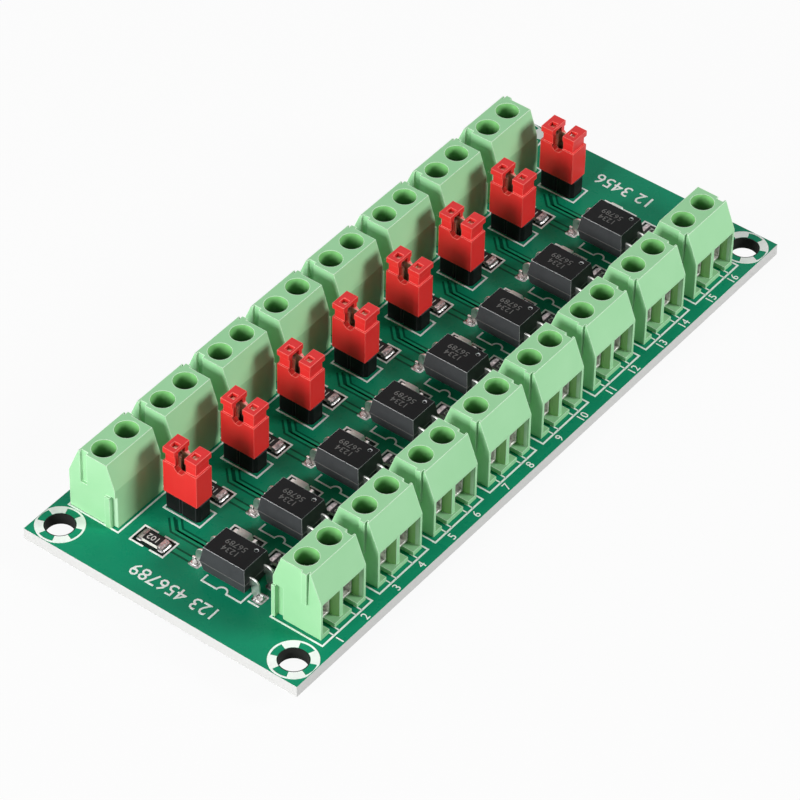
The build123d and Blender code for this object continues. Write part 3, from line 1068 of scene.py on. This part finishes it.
for row in ("input", "output"):
    x, y = first_of(f"{row}_resistors")
    half_x = chip_width / 2 - 0.02
    half_y = chip_length / 2 - 0.02
    tile = bmesh.new()
    tile_top = board_top + chip_height - 0.05
    brick(tile, (x - half_x, y - half_y, board_top + 0.05), (x + half_x, y + half_y, tile_top))
    tiles = chip_piece(f"{row}_resistor_tiles", tile, ceramic, 0.04)
    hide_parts(f"{row}_resistors")
    top = bmesh.new()
    window = chip_length / 2 - cap_length + 0.04
    z = board_top + chip_height
    brick(top, (x - half_x + 0.04, y - window, z - 0.08), (x + half_x - 0.04, y + window, z - 0.005))
    chip_piece(f"{row}_resistor_coats", top, glass_coat, 0.03)
    digits = bmesh.new()
    write_numbers(digits, "102", (x, y), 0.85, 90, z - 0.02, z + 0.004)
    chip_piece(f"{row}_resistor_numbers", digits, coat_numbers, 0)
    chip_ends(f"{row}_resistor", (x, y), chip_height - 0.02, cap_length)

# The indicator lights: a clear milky lens moulded on a pale base, with a plated terminal at each end
# that is notched where the blank was drilled before it was cut, and a green mark on one end.
# The whiter colour given for the edges is a painted highlight along the lenses' rounded edges.
lens_milky = plastic_finish("light_lens", (238, 240, 234), (226, 230, 222), 0.2, 0.002, (250, 251, 248))
base_pale = plastic_finish("light_base", (222, 226, 210), (206, 212, 196), 0.5, 0.003)
mark_green = plastic_finish("light_mark", (70, 150, 90), (60, 138, 80), 0.45, 0.002)
light_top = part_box("indicator_lights")[1].z / mm
light_middle = first_of("indicator_lights")
light_half_x = 0.8
light_half_y = 1.6
light_base_height = 0.48
lens_half_width = 0.76
lens_foot = 1.0
lens_top = 0.82
light_base_half = 0.78
light_mark_half = 0.5
light_mark_start = 1.02
light_mark_end = 1.14
terminal_reach = 0.42
terminal_notch = 0.3


def notched_end(shape, middle, end, inset, low, high):
    """One end of the base, with a half-round notch in its edge."""
    x, y = middle
    outer = y + end * (light_half_y - inset)
    inner = y + end * (light_half_y - terminal_reach)
    half = light_half_x - inset
    arc = [
        (x + terminal_notch * math.cos(a), outer - end * terminal_notch * math.sin(a))
        for a in (math.pi * k / 8 for k in range(9))
    ]
    outline = [(x + half, inner), (x + half, outer), *arc, (x - half, outer), (x - half, inner)]
    between_rings(shape, [[shape.verts.new((*spot, z)) for spot in outline] for z in (low, high)])


light_ends = bmesh.new()
light_solder = bmesh.new()
base_top = board_top + light_base_height
for end in (-1, 1):
    notched_end(light_ends, light_middle, end, 0.01, board_top + 0.03, base_top + 0.02)
    spot = (light_middle[0], light_middle[1] + end * (light_half_y - 0.12))
    mound(light_solder, spot, (0.86, 0.5), (0.66, 0.22), board_top, board_top + 0.3, square_power)
light_base = bmesh.new()
x, y = light_middle
reach = light_half_y - terminal_reach + 0.02
half = light_base_half
brick(light_base, (x - half, y - reach, board_top + 0.04), (x + half, y + reach, base_top))
lens = bmesh.new()
quarters = ((-1, -1), (1, -1), (1, 1), (-1, 1))
between_rings(lens, [
    [lens.verts.new((x + a * lens_half_width, y + b * half_y, z)) for a, b in quarters]
    for half_y, z in ((lens_foot, base_top - 0.02), (lens_top, light_top))
])
dot = bmesh.new()
half = light_mark_half
brick(dot, (x - half, y + light_mark_start, base_top - 0.02), (x + half, y + light_mark_end, base_top + 0.02))
lenses = chip_piece("light_lenses", lens, lens_milky, 0.08)
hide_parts("indicator_lights")
chip_piece("light_bases", light_base, base_pale, 0.03)
chip_piece("light_marks", dot, mark_green, 0)
chip_piece("light_terminals", light_ends, tinned, 0.03)
chip_piece("light_solder", light_solder, solder, 0)

# The stage: a plain pale floor that keeps a faint shadow, soft studio light from the left, the front
# and the back, and a camera with a long lens that looks down on the inputs and the first channel.
camera_azimuth = math.radians(-53.3)
camera_elevation = math.radians(43.27)
camera_roll = math.radians(1.26)
camera_distance = 524.19
camera_lens = 201.43
camera_target = Vector((-3.57, -0.66, 3.5))
lamp_distance = 700
ambient = 0.06


def seen_directly(tree):
    """1 for what the camera, a reflection or a clear piece shows, and 0 for light on the object."""
    path = tree.node("ShaderNodeLightPath").socket.node.outputs
    seen = Wire(tree, path["Is Camera Ray"]) + Wire(tree, path["Is Glossy Ray"])
    return (seen + Wire(tree, path["Is Transmission Ray"])) > 0.5


def studio_shade(name, colour, lit_share):
    """A white that the camera and reflections see as plain white, and that still takes a shadow."""
    made, tree = finish(name)
    matte = tree.node("ShaderNodeBsdfDiffuse", {}, {"Color": tint(colour)}, "BSDF")
    glow = tree.node("ShaderNodeEmission", {}, {"Color": (1.0, 1.0, 1.0, 1.0), "Strength": 1.0})
    both = tree.node("ShaderNodeMixShader", {}, {0: seen_directly(tree) * lit_share, 1: matte, 2: glow})
    tree.node("ShaderNodeOutputMaterial", {}, {"Surface": both})
    return made


floor_shape = bmesh.new()
bmesh.ops.create_grid(floor_shape, x_segments=2, y_segments=2, size=1500)
floor = make_piece("floor", floor_shape, studio_shade("floor_white", (208, 208, 208), 0.94))

world = bpy.data.worlds.new("studio")
world.use_nodes = True
world.node_tree.nodes.clear()
sky = Tree(world.node_tree)
strength = seen_directly(sky) * (1 - ambient) + ambient
backdrop = sky.node("ShaderNodeBackground", {}, {"Color": (1.0, 1.0, 1.0, 1.0), "Strength": strength})
sky.node("ShaderNodeOutputWorld", {}, {"Surface": backdrop})
bpy.context.scene.world = world


def softbox(name, way, size, power):
    """A square lamp that faces the board from that direction."""
    lamp = bpy.data.lights.new(name, "AREA")
    lamp.energy = power
    lamp.size = size * mm
    made = bpy.data.objects.new(name, lamp)
    made.location = Vector(way).normalized() * lamp_distance * mm
    made.rotation_euler = Vector(way).to_track_quat("Z", "Y").to_euler()
    bpy.context.scene.collection.objects.link(made)


softbox("left_softbox", (-0.92, 0.1, 0.38), 300, 5.0)
softbox("front_softbox", (0.4, -0.78, 0.47), 220, 3.8)
softbox("back_softbox", (-0.45, 0.8, 0.45), 400, 0.9)

back = Vector((
    math.sin(camera_azimuth) * math.cos(camera_elevation),
    -math.cos(camera_azimuth) * math.cos(camera_elevation),
    math.sin(camera_elevation),
))
level_right = (-back).cross(Vector((0, 0, 1))).normalized()
level_up = level_right.cross(-back)
right = level_right * math.cos(camera_roll) + level_up * math.sin(camera_roll)
up = level_up * math.cos(camera_roll) - level_right * math.sin(camera_roll)
optics = bpy.data.cameras.new("camera")
optics.lens = camera_lens
optics.sensor_width = 36
optics.clip_start = 0.01
optics.clip_end = 10
camera = bpy.data.objects.new("camera", optics)
turn = Matrix((right, up, back)).transposed().to_4x4()
camera.matrix_world = Matrix.Translation((camera_target + back * camera_distance) * mm) @ turn
bpy.context.scene.collection.objects.link(camera)
bpy.context.scene.camera = camera
bpy.context.scene.view_settings.view_transform = "Standard"
